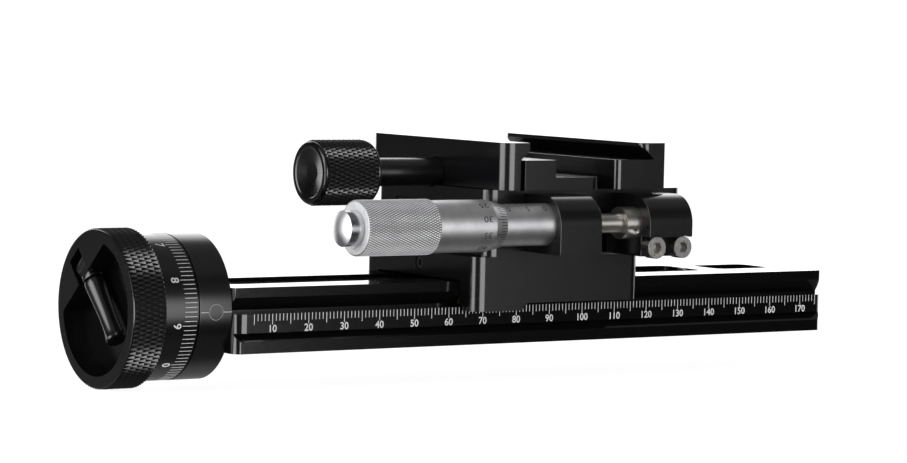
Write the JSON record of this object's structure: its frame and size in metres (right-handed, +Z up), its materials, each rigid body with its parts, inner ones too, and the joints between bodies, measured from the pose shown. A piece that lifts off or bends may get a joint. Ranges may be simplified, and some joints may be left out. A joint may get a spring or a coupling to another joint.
{
  "type": "macro focusing rail",
  "caption": "Dovetail focusing rail with a screw-driven carriage, a micrometer fine stage and a quick-release clamp; folding crank in a knurled drive knob.",
  "frame": {"origin": "middle of the rail's flat underside", "axes": "+X along the rail from the drive knob to the far end, +Y away from the scale and the micrometer, +Z up out of the underside"},
  "size_m": [0.205, 0.0705, 0.0588],
  "materials": {
    "black_anodised": "satin black anodised",
    "knurled_black": "knurled, black anodised",
    "satin_chrome": "satin",
    "polished_chrome": "polished",
    "stainless": "turned stainless steel",
    "black_steel": "black oxide",
    "bronze": "machined"
  },
  "bodies": {
    "rail": {"rail": "black_anodised", "drive_collar": "black_anodised", "collar_screws": "black_steel", "screw_bearings": "stainless", "end_bush": "bronze"},
    "drive": {"lead_screw": "stainless", "dial": "black_anodised", "hand_knob": "knurled_black", "knob_set_screws": "black_steel", "crank_pin": "stainless", "end_nut": "stainless"},
    "crank": {"crank_arm": "stainless"},
    "grip": {"crank_grip": "black_anodised"},
    "carriage": {"carriage": "black_anodised", "carriage_gibs": "bronze", "gib_screws": "black_steel", "drive_nut": "bronze", "nut_screws": "black_steel", "carriage_set_screw": "black_steel", "stage_base": "black_anodised", "base_screws": "black_steel", "micrometer_bracket": "black_anodised", "bracket_screws": "black_steel", "micrometer_sleeve": "satin_chrome"},
    "stage": {"stage_slide": "black_anodised", "stage_gib": "bronze", "stage_gib_screws": "black_steel", "drive_bracket": "black_anodised", "drive_bracket_screws": "stainless", "spindle_coupling": "stainless", "coupling_set_screw": "stainless", "clamp_base": "black_anodised", "clamp_base_screws": "black_steel", "fixed_jaw": "black_anodised", "fixed_jaw_screws": "black_steel", "jaw_guide_pins": "stainless"},
    "thimble": {"micrometer_thimble": "satin_chrome", "thimble_cap": "polished_chrome", "micrometer_spindle": "stainless"},
    "jaw": {"moving_jaw": "black_anodised"},
    "clamp_drive": {"clamp_screw": "black_anodised", "clamp_knob": "knurled_black"}
  },
  "joints": [
    {"name": "drive_spin", "type": "hinge", "parent": "rail", "child": "drive", "pos_m": [0, 0, 0.01], "axis": [1, 0, 0], "range_deg": [-17641, 22321]},
    {"name": "carriage_slide", "type": "slide", "parent": "rail", "child": "carriage", "axis": [1, 0, 0], "range_m": [-0.062, 0.049]},
    {"name": "crank_fold", "type": "hinge", "parent": "drive", "child": "crank", "pos_m": [-0.11332, 0.0087, 0.01966], "axis": [0, 0.7431, -0.6691], "range_deg": [0, 90]},
    {"name": "grip_spin", "type": "hinge", "parent": "crank", "child": "grip", "pos_m": [-0.11332, 0.0087, 0.01966], "axis": [0, 0.6691, 0.7431], "continuous": true},
    {"name": "stage_travel", "type": "slide", "parent": "carriage", "child": "stage", "axis": [1, 0, 0], "range_m": [-0.0021, 0.0129]},
    {"name": "thimble_spin", "type": "hinge", "parent": "stage", "child": "thimble", "pos_m": [0, -0.0335, 0.03025], "axis": [1, 0, 0], "range_deg": [-1513, 9289]},
    {"name": "jaw_travel", "type": "slide", "parent": "stage", "child": "jaw", "axis": [1, 0, 0], "range_m": [-0.003, 0.0012]},
    {"name": "clamp_spin", "type": "hinge", "parent": "jaw", "child": "clamp_drive", "pos_m": [0, 0, 0.0414], "axis": [1, 0, 0], "range_deg": [-1351, 541]}
  ],
  "couplings": [
    {"joint": "drive_spin", "follows": "carriage_slide", "rad_per_m": -6283.2},
    {"joint": "thimble_spin", "follows": "stage_travel", "rad_per_m": 12566},
    {"joint": "clamp_spin", "follows": "jaw_travel", "rad_per_m": 7854}
  ]
}
